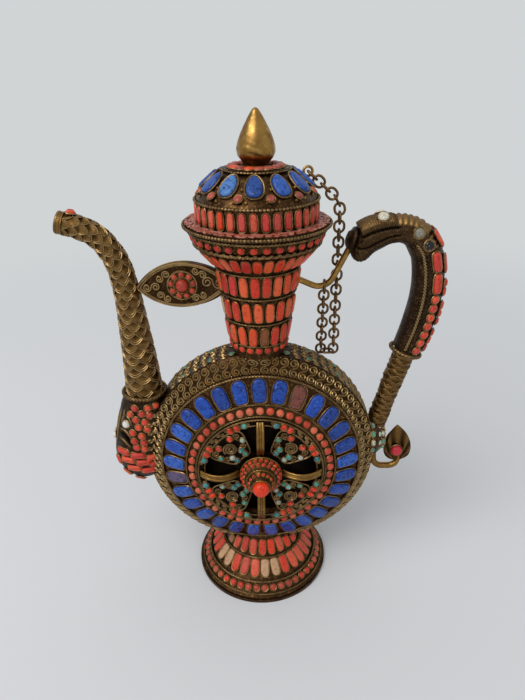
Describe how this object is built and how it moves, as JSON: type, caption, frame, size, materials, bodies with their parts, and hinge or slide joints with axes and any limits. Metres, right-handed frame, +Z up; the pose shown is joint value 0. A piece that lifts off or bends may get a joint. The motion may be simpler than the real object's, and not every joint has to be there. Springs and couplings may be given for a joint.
{
  "type": "jewelled flask ewer",
  "caption": "Metal ewer with a round flask body on a spreading foot, monster-head spout, dragon-head handle, chained lid and settings of coral, lapis and turquoise.",
  "frame": {"origin": "on the floor under the middle of the foot", "axes": "+Z up along the neck and lid, -X towards the spout, +X towards the handle, -Y towards the front face"},
  "size_m": [0.2163, 0.0962, 0.3],
  "materials": {
    "aged_brass": "gilt brass sheet, worn and dark in the hollows",
    "twisted_wire": "twisted gilt wire, bright on its crests",
    "medallion_brass": "openwork plate, darkened",
    "bright_brass": "rubbed bright by hand",
    "chain_brass": "drawn wire, dull",
    "dark_bronze": "brown patina, satin",
    "coral": "polished coral",
    "lapis": "polished lapis",
    "turquoise": "waxy turquoise",
    "pale_stone": "polished pale stone"
  },
  "bodies": {
    "pot": {"boss_corals": "coral", "chain_anchor": "chain_brass", "flask_back": "aged_brass", "flask_band": "aged_brass", "flask_beads": "coral", "flask_front": "aged_brass", "flask_lapis": "lapis", "flask_wires": "twisted_wire", "foot_beads": "coral", "foot_rim": "aged_brass", "foot_shell": "aged_brass", "foot_tablets": "coral", "foot_wires": "twisted_wire", "handle_corals": "coral", "handle_grip": "dark_bronze", "handle_head": "dark_bronze", "handle_ring": "twisted_wire", "handle_rod": "bright_brass", "handle_root": "aged_brass", "handle_sleeve": "aged_brass", "handle_stones": "pale_stone", "medallion_back": "medallion_brass", "medallion_bosses": "aged_brass", "medallion_front": "medallion_brass", "medallion_prongs": "bright_brass", "medallion_stones": "turquoise", "neck_beads": "coral", "neck_funnel": "aged_brass", "neck_tablets": "coral", "neck_wires": "twisted_wire", "spout_collar": "twisted_wire", "spout_corals": "coral", "spout_eyes": "pale_stone", "spout_head": "dark_bronze", "spout_tube": "aged_brass", "strut_corals": "coral", "strut_leaf": "aged_brass", "tail_corals": "coral", "tail_leaf": "aged_brass", "tail_scroll": "bright_brass"},
    "lid": {"lid_plug": "aged_brass", "lid_flange": "aged_brass", "lid_wall": "aged_brass", "lid_dome": "aged_brass", "lid_disc": "aged_brass", "lid_finial": "bright_brass", "lid_wires": "twisted_wire", "lid_tablets": "coral", "lid_lapis": "lapis", "lid_beads": "coral", "lid_eyelet": "bright_brass", "chain_drape": "chain_brass"},
    "chain_fall_1": {"chain_fall_1": "chain_brass"},
    "chain_fall_2": {"chain_fall_2": "chain_brass"},
    "chain_fall_3": {"chain_fall_3": "chain_brass"},
    "chain_fall_4": {"chain_fall_4": "chain_brass"},
    "chain_fall_5": {"chain_fall_5": "chain_brass"},
    "chain_bight": {"chain_bight": "chain_brass"},
    "chain_return_1": {"chain_return_1": "chain_brass"},
    "chain_return_2": {"chain_return_2": "chain_brass"}
  },
  "joints": [
    {"name": "lid_lift", "type": "slide", "parent": "pot", "child": "lid", "axis": [0, 0, 1], "range_m": [0, 0.0084]},
    {"name": "chain_fall_1_rise", "type": "slide", "parent": "pot", "child": "chain_fall_1", "axis": [0, 0, 1], "range_m": [0, 0.00794]},
    {"name": "chain_fall_2_rise", "type": "slide", "parent": "pot", "child": "chain_fall_2", "axis": [0, 0, 1], "range_m": [0, 0.00708]},
    {"name": "chain_fall_3_rise", "type": "slide", "parent": "pot", "child": "chain_fall_3", "axis": [0, 0, 1], "range_m": [0, 0.00622]},
    {"name": "chain_fall_4_rise", "type": "slide", "parent": "pot", "child": "chain_fall_4", "axis": [0, 0, 1], "range_m": [0, 0.00536]},
    {"name": "chain_fall_5_rise", "type": "slide", "parent": "pot", "child": "chain_fall_5", "axis": [0, 0, 1], "range_m": [0, 0.0045]},
    {"name": "chain_bight_rise", "type": "slide", "parent": "pot", "child": "chain_bight", "axis": [0, 0, 1], "range_m": [0, 0.0045]},
    {"name": "chain_return_1_rise", "type": "slide", "parent": "pot", "child": "chain_return_1", "axis": [0, 0, 1], "range_m": [0, 0.00313]},
    {"name": "chain_return_2_rise", "type": "slide", "parent": "pot", "child": "chain_return_2", "axis": [0, 0, 1], "range_m": [0, 0.00177]}
  ],
  "couplings": [
    {"joint": "chain_fall_1_rise", "follows": "lid_lift", "ratio": 0.8976},
    {"joint": "chain_fall_2_rise", "follows": "lid_lift", "ratio": 0.7952},
    {"joint": "chain_fall_3_rise", "follows": "lid_lift", "ratio": 0.6929},
    {"joint": "chain_fall_4_rise", "follows": "lid_lift", "ratio": 0.5905},
    {"joint": "chain_fall_5_rise", "follows": "lid_lift", "ratio": 0.4881},
    {"joint": "chain_bight_rise", "follows": "lid_lift", "ratio": 0.4881},
    {"joint": "chain_return_1_rise", "follows": "lid_lift", "ratio": 0.3254},
    {"joint": "chain_return_2_rise", "follows": "lid_lift", "ratio": 0.1627}
  ]
}
